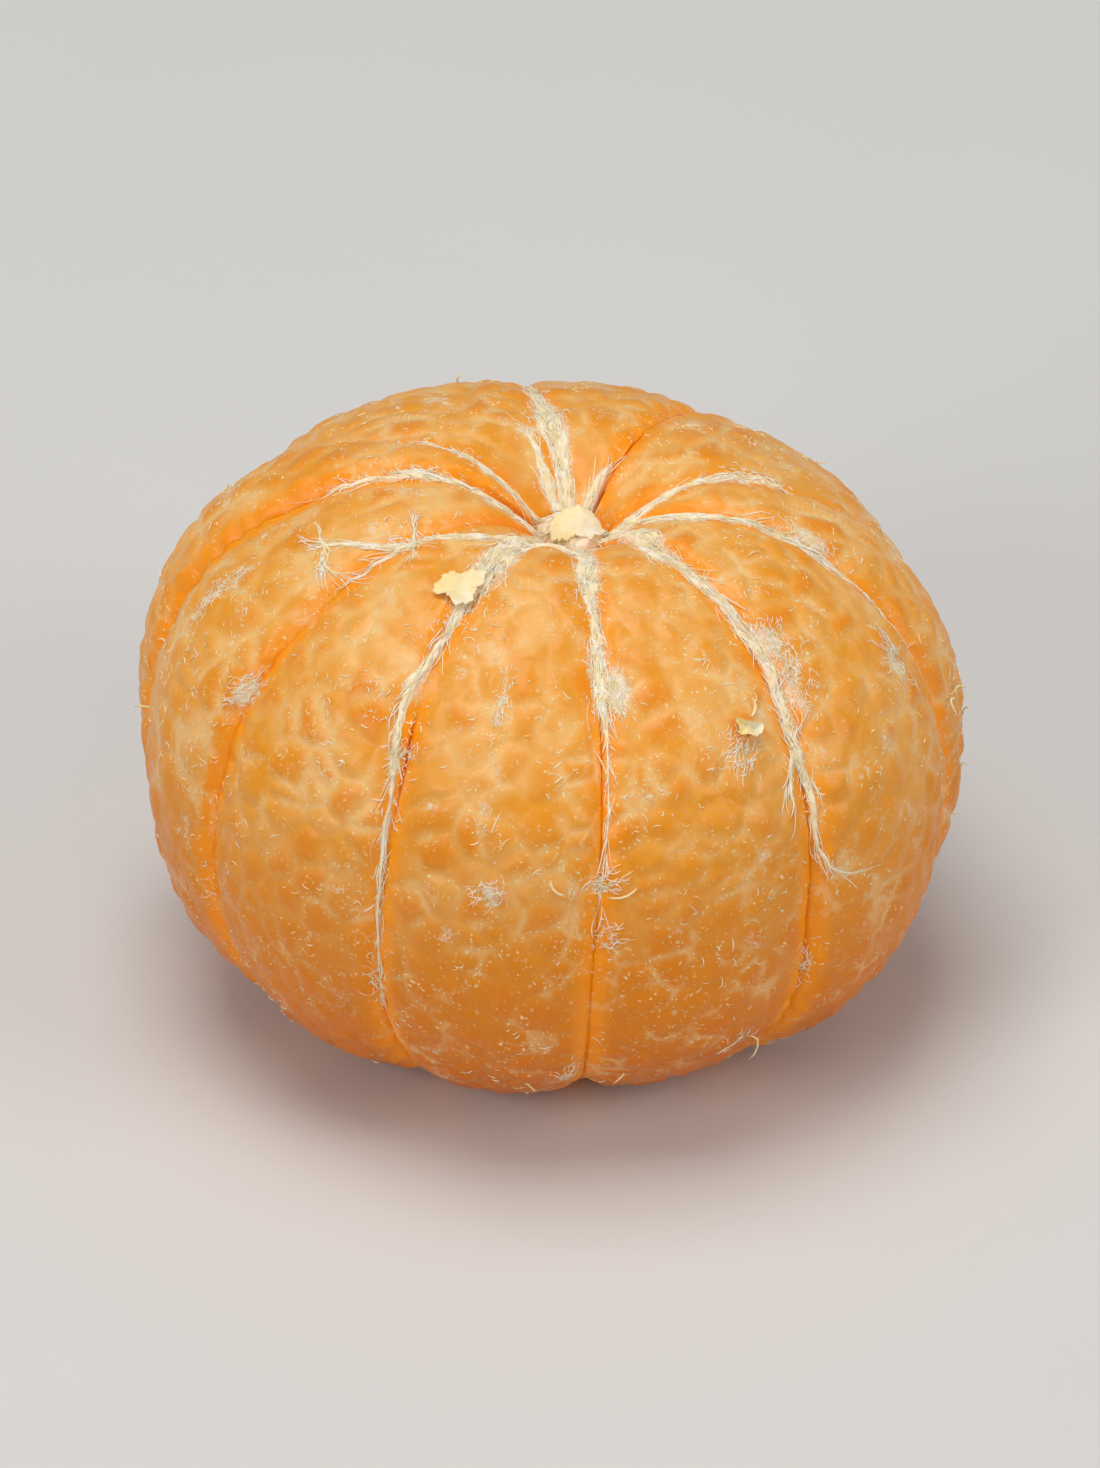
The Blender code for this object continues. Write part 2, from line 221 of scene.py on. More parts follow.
# The core, from its dome in the hollow on top to its stub underneath
CAP_MIDDLE = 15.4 * MM  # above the fruit's middle
CAP_WIDTH = 2.8 * MM
CAP_HEIGHT = 3.3 * MM
CAP_BLEND = 0.8 * MM  # how softly the threads go from the dome to the membranes
STUB_END = -16.6 * MM
CORE_RINGS = 96
CORE_LUMPS = ((0.13, 0.7, 31), (0.06, 0.25, 32), (0.03, 0.1, 33))  # height, size and seed

# Cottony patches: turn and rise of the middle, spread round and up in millimetres, number of
# fibres, and the way most of them point, in degrees from straight up
TUFTS = (
    (6, 45, 0.45, 1.1, 70, 4), (8, 40, 0.75, 0.9, 90, -10), (5, 61, 0.5, 1.0, 60, 4),
    (46, 44, 0.7, 0.8, 60, 20), (47, 38, 0.7, 1.4, 90, 8), (40, 66, 0.5, 0.8, 50, 20),
    (82, 49, 0.5, 1.3, 80, 10), (70, 30, 0.6, 1.3, 70, -14), (30, 29, 0.9, 0.7, 60, 50),
    (-31, 60, 0.6, 0.9, 60, -20), (-30, 50, 0.5, 0.9, 50, -14), (-28, 25, 0.35, 0.8, 40, 5),
    (-169, 64, 0.7, 1.2, 90, 0), (-112, 68, 0.6, 0.8, 50, 20), (-59, 55, 0.5, 0.5, 20, 40),
    (-60, 22, 0.5, 1.0, 60, 25), (-79, 28, 0.4, 1.7, 60, 20), (7, 12, 0.4, 0.5, 40, 80),
    (-13, 37, 0.25, 1.5, 30, 0), (-10, 10, 0.5, 0.5, 25, 60), (110, 58, 0.5, 0.9, 40, 30),
    (-91, 64, 0.4, 0.8, 40, 10), (8, 3, 0.5, 0.5, 20, 40), (3, -26, 0.5, 0.8, 25, 0),
    (30, -22, 0.5, 0.5, 20, 50), (-26, -10, 0.3, 1.0, 30, 0), (41, -10, 0.3, 1.2, 25, 0),
)

# Long loose fibres: turn, rise, the way they start from straight up in degrees, length in
# millimetres, bend in radians, lift and radius in millimetres
CURLS = (
    (83, 13, -40, 2.6, 3.6, 0.9, 0.1), (84, 14, 60, 1.6, -2.4, 0.7, 0.08), (89, 7, 20, 1.4, 2.2, 0.6, 0.07),
    (85, 1, 90, 1.3, -1.8, 0.6, 0.07), (83, -5, 150, 1.2, 1.5, 0.5, 0.06),
    (-90, -2, -60, 1.8, 2.0, 0.8, 0.08), (-93, 4, -20, 1.4, -2.2, 0.7, 0.07),
    (-112, 23, -30, 1.5, 1.8, 0.8, 0.08), (-88, 12, -90, 1.1, 1.6, 0.6, 0.06),
    (30, -22, 120, 3.6, -3.0, 1.3, 0.08), (-4, -27, 160, 1.4, 1.2, 0.6, 0.07),
    (12, -26, 190, 1.6, -1.4, 0.7, 0.07), (33, 34, 70, 2.0, 2.6, 0.6, 0.13),
    (6, 10, 80, 2.6, 1.2, 0.5, 0.09), (2, 11, -70, 2.0, -1.5, 0.5, 0.09),
    (166, 20, 10, 1.8, 2.4, 0.8, 0.08), (-150, 8, 60, 1.6, -2.0, 0.7, 0.07),
    (128, 34, -40, 1.5, 1.6, 0.7, 0.07), (205, 44, 30, 1.9, 1.4, 0.8, 0.08),
)

# Outlines of the torn leaves: the radius in millimetres at angles from straight up
HEART_LEAF = ((0, 1.2), (25, 1.6), (50, 1.5), (85, 1.1), (120, 1.2), (150, 1.8), (163, 2.1), (185, 1.4),
              (215, 1.0), (250, 1.2), (280, 1.4), (305, 1.8), (325, 1.8), (345, 1.1))
CAP_LEAF = ((0, 1.2), (40, 1.7), (75, 2.2), (110, 1.6), (150, 1.1), (185, 1.5), (220, 1.2), (255, 2.0),
            (285, 2.3), (320, 1.3))
YELLOW_LEAF = ((0, 0.5), (30, 0.8), (60, 1.3), (85, 1.6), (105, 0.7), (150, 0.4), (190, 0.5), (220, 1.1),
               (245, 0.8), (290, 0.9), (320, 0.5))

# The leaves: name, turn, rise, outline, thickness, curl, how yellow, and seed
LEAVES = (
    ("heart_leaf", -33.5, 54, HEART_LEAF, 0.17, 0.35, 1.0, 41),
    ("cap_leaf", 20, 87.5, CAP_LEAF, 0.22, 0.3, 0.7, 47),
    ("yellow_leaf", 32, 32.5, YELLOW_LEAF, 0.12, 0.5, 2.0, 43),
)

# White bloom on the membranes: turn, rise, half length up and half width round in millimetres
# and strength
BLOOM = (
    (-79, 26, 2.4, 0.5, 0.8), (-78, 33, 2.6, 0.7, 0.6), (-60, 22, 1.5, 0.7, 0.9), (-50, 15, 2.0, 0.4, 0.5),
    (-13, 38, 3.2, 0.4, 0.5), (-11, 27, 2.2, 0.35, 0.45), (-12, 22, 0.8, 0.7, 0.6),
    (-10, 10, 0.9, 0.8, 0.6), (9, 41, 2.2, 1.3, 0.95), (5, 45, 2.0, 0.9, 0.8), (8, 5, 1.1, 0.6, 0.6),
    (2, 11, 0.9, 0.7, 0.6), (46, 43, 1.6, 1.2, 0.95), (45, 36, 3.4, 0.9, 0.8), (83, 49, 2.0, 1.2, 0.85),
    (69, 29, 1.9, 0.9, 0.85), (33, 30, 1.1, 1.4, 0.5), (-40, 45, 2.0, 2.0, 0.3), (-20, 20, 1.0, 1.2, 0.4),
    (60, 20, 2.2, 1.2, 0.4), (-64, 43, 5.0, 3.0, 0.28), (-84, 40, 5.0, 3.0, 0.3), (-72, 24, 4.0, 2.5, 0.26),
    (-38, 36, 4.0, 2.0, 0.24), (-105, 30, 2.5, 1.2, 0.6), (130, 40, 2.5, 1.0, 0.5),
    (170, 20, 3.0, 1.2, 0.5), (-140, 30, 2.5, 1.0, 0.6),
)

# Colours of the membrane, from clear flesh to white film, with painted sheen, shade and glow among them
AMBER = (0.85, 0.320, 0.004)
CLEAR = (0.84, 0.255, 0.001)
HAZE_AND_TOP_SHEEN = (0.93, 0.525, 0.170)
PAINTED_GROOVE_LIGHT = (0.96, 0.315, 0.002)
PAINTED_SHADE_BELOW = (0.66, 0.135, 0.001)
SPECK_AND_GLINT = (1.00, 0.800, 0.420)
VEIN = (0.95, 0.640, 0.300)
WHITE_FILM = (1.00, 0.92, 0.76)
GROOVE_GLOW = 0.05
MEMBRANE_IOR = 1.38

# The view, which is the photograph's
VIEW_RISE = 34.0  # the line of sight's angle above the horizon, in degrees
VIEW_DISTANCE = 0.972  # from the fruit's middle
FRUIT_SHARE = 0.75  # of the picture's width
PICTURE = (1100, 1468)
FILM_HEIGHT = 36.0  # millimetres

# The lights: name, place, size, power and colour
LIT_PLACE = (0.0, 0.0, 0.02)
LIGHTS = (
    ("overhead", (-0.10, 0.0, 0.80), (0.50, 0.45), 3.4, (1.0, 0.98, 0.95)),
    ("front_left", (-0.60, -0.65, 0.50), (0.40, 0.40), 2.6, (1.0, 1.0, 1.0)),
    ("right", (0.72, -0.35, 0.42), (0.40, 0.50), 2.0, (1.0, 0.99, 0.97)),
)
ROOM_LIGHT = 0.27
FLOOR_HALF = 3.0

GROOVES = len(SEGMENTS)
TURNS = np.radians([segment[0] for segment in SEGMENTS])
BENDS = np.radians([segment[1] for segment in SEGMENTS])
FULLNESS = np.array([segment[2] for segment in SEGMENTS])
WIDTHS = (np.roll(TURNS, -1) - TURNS) % math.tau


def smoothstep(value, low, high):
    part = np.clip((value - low) / (high - low), 0.0, 1.0)
    return part * part * (3.0 - 2.0 * part)


def direction(turn, rise):
    """Unit vectors at angles round the fruit and height angles, both in degrees."""
    turn, rise = np.radians(turn), np.radians(rise)
    return np.stack((np.sin(turn) * np.cos(rise), -np.cos(turn) * np.cos(rise), np.sin(rise)), axis=-1)


def unit(vectors):
    return vectors / np.maximum(np.linalg.norm(vectors, axis=-1, keepdims=True), 1e-12)


def wrap(angle):
    return (angle + math.pi) % math.tau - math.pi


def round_angles(points):
    """How far points are from the fruit's axis, and their height angle and turn in radians."""
    around = np.hypot(points[..., 0], points[..., 1])
    return around, np.arctan2(points[..., 2], around), np.arctan2(points[..., 0], -points[..., 1])


def axes_at(turn, rise):
    """Unit vectors at a place on the fruit: outwards, to the right and upwards."""
    out = direction(turn, rise)
    right = direction(turn + 90, 0)
    return out, right, np.cross(right, out)


def groove_turn(index, rise):
    """The angle round the fruit of the grooves with these indexes, at height angles in radians."""
    return TURNS[index] + BENDS[index] * smoothstep(np.degrees(rise), *BEND_RISE)


def from_grooves(index, rise, turn):
    """How far turns are past a segment's first groove, and how far before its last."""
    past_start = wrap(turn - groove_turn(index, rise))
    before_end = wrap(groove_turn((index + 1) % GROOVES, rise) - turn)
    return past_start, before_end


def skin_radius(points):
    """How far the fruit's outside is from its middle towards these points, without its swells."""
    length = np.linalg.norm(points, axis=-1)
    outward = np.hypot(points[..., 0], points[..., 1]) / length
    upward = np.abs(points[..., 2]) / length
    ratio = HALF_HEIGHT / RADIUS
    radius = RADIUS * (outward**SQUARENESS + (upward / ratio) ** SQUARENESS) ** (-1.0 / SQUARENESS)
    return radius - HOLLOW_DEPTH * np.exp(-((radius * outward / HOLLOW_WIDTH) ** 2))


def segment_distance(points, index):
    """How far points are from the surface of the segments with these indexes, negative inside."""
    around, rise, turn = round_angles(points)
    length = np.linalg.norm(points, axis=-1)
    past_start, before_end = from_grooves(index, rise, turn)
    edge = np.minimum(np.abs(past_start - before_end) / WIDTHS[index], 1.0)
    fuller = (FULLNESS[index] - 1.0) * smoothstep(np.degrees(rise), *FULL_RISE)
    lobe = 1.0 + fuller - LOBING * edge**LOBE_POWER * around / length
    walls = np.stack(
        (
            length - lobe * skin_radius(points),
            GAP / 2 - around * np.sin(past_start),
            GAP / 2 - around * np.sin(before_end),
            CORE_RADIUS + GAP - around,
        )
    )
    towards_crown = smoothstep(around, *ROUNDING_CHANGE)
    rounding = INNER_ROUNDING + (CROWN_ROUNDING - INNER_ROUNDING) * towards_crown
    outside = np.sqrt(np.sum(np.maximum(walls + rounding, 0.0) ** 2, axis=0))
    return np.minimum(walls.max(axis=0), -rounding) + outside


def soft_union(first, second, softness):
    """The distance from two forms that run into each other softly."""
    near = np.clip(0.5 + (second - first) / (2 * softness), 0.0, 1.0)
    return second + (first - second) * near - softness * near * (1.0 - near)


def skin_distance(points, index):
    """As segment_distance, but the skins of neighbours run into each other in the grooves."""
    around = np.hypot(points[..., 0], points[..., 1])
    softness = SEAM_SOFTNESS * (0.2 + 0.8 * smoothstep(around, *ROUNDING_CHANGE))
    distance = segment_distance(points, index)
    for step in (-1, 1):
        distance = soft_union(distance, segment_distance(points, (index + step) % GROOVES), softness)
    return distance


def membrane_distance(points, index):
    """How far points are from a segment's membrane, which ends at the planes of its grooves."""
    around, rise, turn = round_angles(points)
    past_start, before_end = from_grooves(index, rise, turn)
    start = SEAM / 2 - around * np.sin(past_start)
    end = SEAM / 2 - around * np.sin(before_end)
    return np.maximum(skin_distance(points, index), np.maximum(start, end))


def meet(start, along, reach, distance):
    """The points where distance rises to 0 on the way from start along unit vectors."""
    near = np.zeros(len(along))
    far = np.full(len(along), reach)
    for _ in range(22):
        middle = (near + far) / 2
        outside = distance(start + along * middle[:, None]) > 0.0
        far = np.where(outside, middle, far)
        near = np.where(outside, near, middle)
    return start + along * near[:, None]


def slow_swell(towards):
    """The slow swells of the grown surface, the same ones that its solids have."""
    places = towards * SWELLS_ROUND + SWELLS_FROM
    return UNEVENNESS * np.array([noise.noise(Vector(place)) for place in places])


def uneven(points, size, seed):
    """Smooth seeded noise between about -1 and 1 at every point, with swells of this size."""
    slopes = unit(np.random.default_rng(seed).standard_normal((NOISE_CELLS,) * 3 + (3,)))
    at = points / size
    corner = np.floor(at).astype(int)
    part = at - corner
    ease = part**3 * (part * (part * 6 - 15) + 10)
    total = np.zeros(len(points))
    for step in np.ndindex(2, 2, 2):
        cell = (corner + step) % NOISE_CELLS
        slope = slopes[cell[:, 0], cell[:, 1], cell[:, 2]]
        weight = np.prod(np.where(step, ease, 1.0 - ease), axis=1)
        total += weight * np.sum(slope * (part - step), axis=1)
    return total * 1.6


class Sacs:
    """The juice sacs, as cells round the points of a shaken lattice."""

    def __init__(self, size, seed):
        self.size = size
        self.count = 2 * math.ceil(1.15 * RADIUS / size) + 4
        draw = np.random.default_rng(seed)
        self.shaken = draw.random((self.count,) * 3 + (3,))
        self.tones = draw.random((self.count,) * 3)

    def at(self, points):
        """How far each point is from the nearest wall between two sacs, in metres, and its sac's tone."""
        at = points / self.size + self.count / 2
        corner = np.floor(at).astype(int)
        steps = np.stack(np.meshgrid(*[(-1, 0, 1)] * 3, indexing="ij"), axis=-1).reshape(-1, 1, 3)
        cells = np.clip(corner + steps, 0, self.count - 1)
        seeds = cells + self.shaken[cells[..., 0], cells[..., 1], cells[..., 2]] - at
        nearest = np.linalg.norm(seeds, axis=-1).argmin(axis=0)
        home = seeds[nearest, np.arange(len(points))]
        own = cells[nearest, np.arange(len(points))]
        tone = self.tones[own[:, 0], own[:, 1], own[:, 2]]
        across = seeds - home
        gap = np.linalg.norm(across, axis=-1)
        wall = np.sum((seeds + home) / 2 * across, axis=-1) / np.maximum(gap, 1e-9)
        return np.where(gap > 1e-6, wall, 9.0).min(axis=0) * self.size, tone


SACS = Sacs(SAC_SIZE, SAC_SEED)


def relief(points):
    """How far the membrane stands out at points on its plain form, and the sacs under them."""
    towards = unit(points)
    depth = skin_radius(points) - np.linalg.norm(points, axis=-1)
    shown = 1.0 - smoothstep(depth, *RELIEF_DEPTHS)
    swell = slow_swell(towards)
    wall, tone = SACS.at(points)
    fall = 1.0 - np.minimum(wall / SAC_SHOULDER, 1.0)
    back = SAC_HEIGHT * ((1.0 - fall**2) / 2 + smoothstep(wall, 0.0, SAC_SHOULDER) / 2 - 0.5)
    dent = DENT_DEPTH * uneven(points, DENT_SIZE, DENT_SEED)
    pucker = PUCKER_DEPTH * uneven(points, PUCKER_SIZE, PUCKER_SEED)
    return swell + shown * (back + dent + pucker), wall, tone


def slice_angles(part):
    """Turns even steps into angles with more slices near the tips than at the core."""
    steps, angles = zip(*SLICE_ANGLES)
    return np.radians(np.interp(part, steps, angles))


def spread_table():
    """For each ring of a segment's sphere, its part of the half width and step down the wall."""
    steps = [i / CROWN_RINGS for i in range(CROWN_RINGS + 1)]
    crown = [0.6 * math.sin(math.pi / 2 * step) + 0.4 * step for step in steps]
    half = [(spread, 1.0) for spread in crown] + [(1.0, step) for step in WALL_STEPS] + [(1.0, 0.0)]
    return np.array([(-spread, step) for spread, step in reversed(half[1:])] + half)


def bent_over(points):
    """The fruit's upper part leans towards +X, and the whole stands on its pressed underside."""
    lean = LEAN * smoothstep(points[:, 2], -0.9 * HALF_HEIGHT, 0.3 * HALF_HEIGHT)
    x = points[:, 0] * np.cos(lean) + points[:, 2] * np.sin(lean)
    z = points[:, 2] * np.cos(lean) - points[:, 0] * np.sin(lean) + MIDDLE_HEIGHT
    return np.column_stack((x, points[:, 1], np.maximum(z, 0.0)))


def place(name, data):
    """An object with this data, put in the scene."""
    made = bpy.data.objects.new(name, data)
    bpy.context.scene.collection.objects.link(made)
    return made


def ball(around, upward):
    """A sphere of radius 1, to be blown out into a piece."""
    bm = bmesh.new()
    bmesh.ops.create_uvsphere(bm, u_segments=around, v_segments=upward, radius=1.0)
    return bm


class Shape:
    """A mesh made by bmesh operators, whose points are then moved by formula."""

    def __init__(self, bm):
        self.mesh = bpy.data.meshes.new("shape")
        bm.to_mesh(self.mesh)
        bm.free()
        flat = np.empty(len(self.mesh.vertices) * 3)
        self.mesh.vertices.foreach_get("co", flat)
        self.points = flat.reshape(-1, 3)
        self.on_rim = np.zeros(len(self.mesh.vertices), bool)

    def rings(self, count):
        """On a sphere of this many rings, each point's ring from below and its angle round."""
        height = np.clip(self.points[:, 2], -1.0, 1.0)
        ring = np.rint((np.arcsin(height) / math.pi + 0.5) * count).astype(int)
        return ring, np.arctan2(self.points[:, 1], self.points[:, 0])

    def numbers(self):
        """For each point, the number of the copy that it belongs to."""
        values = np.empty(len(self.mesh.vertices), np.int32)
        self.mesh.attributes["number"].data.foreach_get("value", values)
        return values

    def note(self, name, values):
        """Keeps one number a point on the mesh, for the materials to read."""
        layer = self.mesh.attributes.new(name, "FLOAT", "POINT")
        layer.data.foreach_set("value", np.asarray(values, np.float32))

    def keep_rims_sharp(self):
        """Shades both sides of a rim for themselves, so that a hidden wall doesn't darken the skin."""
        ends = np.empty(len(self.mesh.edges) * 2, np.int32)
        self.mesh.edges.foreach_get("vertices", ends)
        sharp = self.on_rim[ends.reshape(-1, 2)].all(axis=1)
        if sharp.any():
            self.mesh.attributes.new("sharp_edge", "BOOLEAN", "EDGE").data.foreach_set("value", sharp)

    def finish(self, name, points, material, slot, replaced=()):
        """Puts the points in place, faces them outwards, attaches the piece to the root body and hides the
        parts that it replaces.
        """
        self.mesh.name = name
        self.mesh.vertices.foreach_set("co", np.ascontiguousarray(points, np.float32).ravel())
        bm = bmesh.new()
        bm.from_mesh(self.mesh)
        bmesh.ops.recalc_face_normals(bm, faces=bm.faces)
        if bm.calc_volume(signed=True) < 0:
            bmesh.ops.reverse_faces(bm, faces=bm.faces)
        bm.to_mesh(self.mesh)
        bm.free()
        self.mesh.update()
        self.mesh.shade_smooth()
        self.keep_rims_sharp()
        self.mesh.materials.append(material)
        piece = place(name, self.mesh)
        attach(piece, "root")
        if replaced:
            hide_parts(*replaced)


def home_segment(points):
    """The index of the segment between whose grooves each point lies."""
    _, rise, turn = round_angles(points)
    grooves = np.arange(GROOVES).reshape((-1,) + (1,) * turn.ndim)
    return ((turn - groove_turn(grooves, rise)) % math.tau).argmin(axis=0)


def cap_distance(points):
    """How far points are from the core's dome, negative inside."""
    scaled = (points - (0, 0, CAP_MIDDLE)) / (CAP_WIDTH, CAP_WIDTH, CAP_HEIGHT)
    return (np.linalg.norm(scaled, axis=-1) - 1.0) * CAP_WIDTH


def fruit_distance(points):
    """How far points are from the nearest membrane or the cap, with the two softly joined."""
    return soft_union(skin_distance(points, home_segment(points)), cap_distance(points), CAP_BLEND)


def drape(towards, level):
    """Points this far off the fruit, in the directions of unit vectors from its middle."""
    skin = skin_radius(towards)
    outer = np.full(len(towards), 1.26)
    inner = outer.copy()
    found = np.zeros(len(towards), bool)
    for part in np.linspace(1.22, 0.74, 17):
        reached = fruit_distance(towards * (skin * part)[:, None]) <= level
        inner = np.where(~found, part, inner)
        outer = np.where(~found & ~reached, part, outer)
        found |= reached
    for _ in range(12):
        middle = (outer + inner) / 2
        outside = fruit_distance(towards * (skin * middle)[:, None]) > level
        outer = np.where(outside, middle, outer)
        inner = np.where(outside, inner, middle)
    points = towards * (skin * inner)[:, None]
    return points + towards * relief(points)[0][:, None]


def route(points, spacing, softening=3):
    """Evenly spaced stations on a smooth way through points: unit vectors, then the sizes."""
    points = np.array(points, float)
    towards = direction(points[:, 0], points[:, 1])
    steps = np.linalg.norm(np.diff(towards, axis=0), axis=1) * RADIUS
    run = np.concatenate(((0.0,), np.cumsum(steps)))
    even = np.linspace(0.0, run[-1], max(int(run[-1] / spacing), 10) + 1)
    values = np.column_stack((towards, points[:, 2:]))
    dense = np.column_stack([np.interp(even, run, column) for column in values.T])
    for _ in range(softening):
        dense[1:-1] = (dense[:-2] + 2 * dense[1:-1] + dense[2:]) / 4
    dense[:, :3] = unit(dense[:, :3])
    dense[:, 3] *= THREAD_SLIMMING[0] + THREAD_SLIMMING[1] * dense[:, 3]
    return dense


def sideways(towards):
    """For stations on the fruit, the unit vectors that point across the way they follow."""
    return unit(np.cross(towards, np.gradient(towards, axis=0)))


def laid_thread(name, points, seed, material, replaced=()):
    """A low flattened thread that follows the surface, ragged at its sides, with pointed ends."""
    stations = route(points, THREAD_SPACING)
    shape = Shape(ball(THREAD_SIDES, len(stations) - 1))
    ring, round_it = shape.rings(len(stations) - 1)
    tip = np.minimum(ring, len(stations) - 1 - ring)
    closing = np.sqrt(np.clip(tip / 4.0, 0.0, 1.0))
    towards = stations[ring, :3]
    across = sideways(stations[:, :3])[ring]
    along = ring * THREAD_SPACING
    side = np.cos(round_it)
    places = np.column_stack((along, np.sign(side) * 5.0 * MM, np.zeros(len(ring))))
    ragged = 1.0 + 0.6 * uneven(places, 1.1 * MM, seed) + 0.5 * uneven(places, 0.45 * MM, seed + 1)
    offset = stations[ring, 3] * MM * side * ragged * closing
    streak = np.column_stack((along * 0.25, offset, np.zeros(len(ring))))
    rope = 1.0 + 0.75 * uneven(streak, 0.16 * MM, seed + 2) + 0.5 * uneven(places, 0.8 * MM, seed + 3)
    top = np.clip(np.sin(round_it), 0.0, 1.0) ** 0.8
    level = THREAD_LOWERING * stations[ring, 4] * MM * top * closing * rope
    out = unit(towards + across * (offset / skin_radius(towards))[:, None])
    placed = drape(out, level)
    sunk = np.clip(-np.sin(round_it), 0.0, 1.0) * THREAD_SUNK
    placed -= out * sunk[:, None]
    shape.note("along", along / MM)
    shape.note("across", offset / MM)
    shape.finish(name, centred(bent_over(placed)), material, "pith", replaced)
    return stations


class Cover:
    """How the threads lie on the fruit, from the stations along them."""

    def __init__(self, stations):
        self.half = stations[:, 3] * MM
        self.height = stations[:, 4] * MM * THREAD_LOWERING
        self.tree = kdtree.KDTree(len(stations))
        for number, station in enumerate(stations[:, :3]):
            self.tree.insert(station, number)
        self.tree.balance()

    def nearest(self, towards):
        """How far from the middle of the nearest thread these directions pass, and which station it is."""
        found = [self.tree.find(direction)[1:] for direction in towards]
        station, away = np.array(found).T
        return away * skin_radius(towards), station.astype(int)

    def height_at(self, towards):
        away, station = self.nearest(towards)
        return self.height[station] * np.sqrt(np.clip(1.0 - (away / self.half[station]) ** 2, 0.0, 1.0))

    def film_at(self, towards):
        """How much thin white film runs out from the threads, 0 to 1."""
        away, station = self.nearest(towards)
        half = self.half[station]
        return np.clip(1.0 - (away - half) / (0.06 * MM + 1.7 * half), 0.0, 1.0)


def copy_many(bm, count):
    """Copies the shape in bm until there are count of them, each with its own number."""
    number = bm.verts.layers.int.new("number")
    made = 1
    while made < count:
        copied = bmesh.ops.duplicate(bm, geom=bm.verts[:] + bm.edges[:] + bm.faces[:])["geom"]
        for vert in copied:
            if isinstance(vert, bmesh.types.BMVert):
                vert[number] += made
        made *= 2
    spare = [vert for vert in bm.verts if vert[number] >= count]
    bmesh.ops.delete(bm, geom=spare, context="VERTS")


def laid_fibres(name, cover, towards, headings, lengths, bends, lifts, radii, free, yellow, material):
    """Fine tapered fibres that lie on the fruit, and stand off it by their lift.

    A free fibre rises towards its loose end, and the others rise in their middle.
    """
    bm = ball(FIBRE_SIDES, FIBRE_STEPS)
    copy_many(bm, len(towards))
    shape = Shape(bm)
    fibre = shape.numbers()
    ring, round_it = shape.rings(FIBRE_STEPS)

    part = np.linspace(0.0, 1.0, FIBRE_STEPS + 1)
    swing = bends[:, None] * (part - 0.3)[None, :]
    aside = np.cross(towards, headings)
    steps = headings[:, None, :] * np.cos(swing)[..., None] + aside[:, None, :] * np.sin(swing)[..., None]
    steps *= (lengths / RADIUS / FIBRE_STEPS)[:, None, None]
    spots = unit(towards[:, None, :] + np.cumsum(steps, axis=1))
    rise = np.where(free[:, None], part**1.6, np.sin(math.pi * part)[None, :])
    level = (radii[:, None] * 0.6 + lifts[:, None] * rise).ravel() + cover.height_at(spots.reshape(-1, 3))
    centres = drape(spots.reshape(-1, 3), level).reshape(spots.shape)

    along = unit(np.gradient(centres, axis=1))
    out = unit(spots - along * np.sum(spots * along, axis=-1, keepdims=True))
    across = np.cross(along, out)
    taper = np.sqrt(np.clip(1.0 - np.abs(2 * part - 0.9) ** 3, 0.02, 1.0))
    radius = (radii[:, None] * taper[None, :])[fibre, ring]
    radius[(ring == 0) | (ring == FIBRE_STEPS)] = 0.0
    ringed = out[fibre, ring] * np.sin(round_it)[:, None] + across[fibre, ring] * np.cos(round_it)[:, None]
    placed = centres[fibre, ring] + ringed * radius[:, None]
    shape.note("yellow", yellow[fibre])
    shape.finish(name, centred(bent_over(placed)), material, "pith")


def drawn_fibres(name, cover, draw, towards, headings, lengths, bend, lift, radii, free, yellow, material):
    """Fibres whose bend, lift, radius in millimetres and colour are drawn at random."""
    count = len(towards)
    laid_fibres(
        name, cover, towards, headings, lengths, draw.normal(0.0, bend, count),
        draw.exponential(lift, count) * MM, draw.uniform(*radii, count) * MM, draw.random(count) < free,
        draw.uniform(*yellow, count), material,
    )


def tangents(towards, angles):
    """Unit vectors that lie on the fruit, turned to the right from straight up by these angles."""
    up = unit(np.array((0.0, 0.0, 1.0)) - towards * towards[:, 2:3])
    right = np.cross(up, towards)
    return up * np.cos(angles)[:, None] + right * np.sin(angles)[:, None]


def thread_hairs(draw, stations):
    """Fibres that run along the threads and stray from them: their starts, headings and lengths."""
    towards, across = stations[:, :3], sideways(stations[:, :3])
    half = stations[:, 3] * MM
    weight = half**0.8
    pick = draw.choice(len(stations), size=HAIRS * len(stations) // HAIR_STATIONS, p=weight / weight.sum())
    side = draw.normal(0.0, 0.85, len(pick))
    start = unit(towards[pick] + across[pick] * (side * (0.9 * half[pick] + 0.02 * MM) / RADIUS)[:, None])
    forward = np.gradient(towards, axis=0)[pick]
    forward = unit(forward - start * np.sum(forward * start, axis=1, keepdims=True))
    forward *= np.sign(draw.uniform(-0.5, 1.0, len(pick)))[:, None]
    stray = draw.random(len(pick)) < 0.12
    angle = draw.normal(0.0, np.where(stray, 0.7, 0.15), len(pick))
    heading = forward * np.cos(angle)[:, None] + np.cross(start, forward) * np.sin(angle)[:, None]
    length = np.where(stray, draw.uniform(0.4, 1.3, len(pick)), draw.uniform(0.9, 3.2, len(pick))) * MM
    return start, heading, length


def add_thread_hairs(thread_stations, cover, material):
    """Fine fibres along every thread."""
    draw = np.random.default_rng(HAIR_SEED)
    found = [thread_hairs(draw, stations) for stations in thread_stations]
    start, heading, length = (np.concatenate(parts) for parts in zip(*found))
    drawn_fibres(
        "thread_hairs", cover, draw, start, heading, length, 0.5, 0.03, (0.022, 0.052), 0.12, (0.0, 0.5),
        material,
    )


